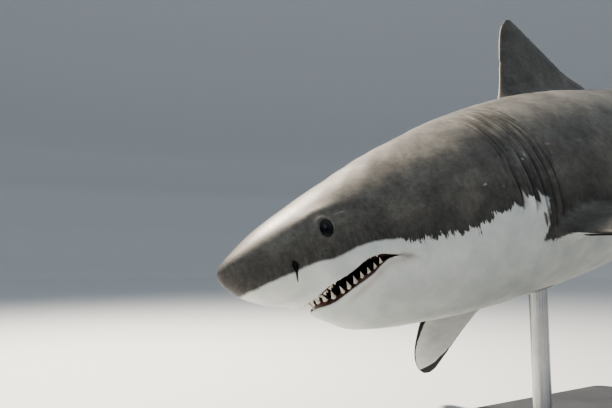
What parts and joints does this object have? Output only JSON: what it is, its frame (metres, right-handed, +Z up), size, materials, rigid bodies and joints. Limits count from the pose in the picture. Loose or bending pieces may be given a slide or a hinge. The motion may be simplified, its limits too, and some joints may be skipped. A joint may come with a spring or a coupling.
{
  "type": "great white shark",
  "caption": "Still life-size great white shark, gliding nose down and rolled, mouth part open, held over a flat base by upright rods.",
  "frame": {"origin": "centre of the underside of the stand's base plate, on the floor", "axes": "+X runs from the snout towards the tail, +Y is the shark's right, +Z is up"},
  "size_m": [4.3277, 1.9529, 2.709],
  "materials": {
    "skin": "wet grey-brown back with a ragged line to a white belly",
    "eye": "glossy black",
    "tooth": "ivory enamel",
    "mouth_lining": "dark moist flesh",
    "base_paint": "satin charcoal powder coat",
    "rod_steel": "brushed along the rod"
  },
  "bodies": {
    "root": {"head": "skin", "lower_jaw": "skin", "gill_region": "skin", "trunk": "skin", "tail": "skin", "tail_stalk": "skin", "first_dorsal_fin": "skin", "second_dorsal_fin": "skin", "anal_fin": "skin", "pectoral_fin_left": "skin", "pectoral_fin_right": "skin", "pelvic_fin_left": "skin", "pelvic_fin_right": "skin", "tail_fin_upper_lobe": "skin", "tail_fin_lower_lobe": "skin", "eye_left": "eye", "eye_right": "eye", "stand_base": "base_paint", "stand_flange_front": "rod_steel", "stand_rod_front": "rod_steel", "stand_flange_rear": "rod_steel", "stand_rod_rear": "rod_steel"}
  },
  "joints": []
}
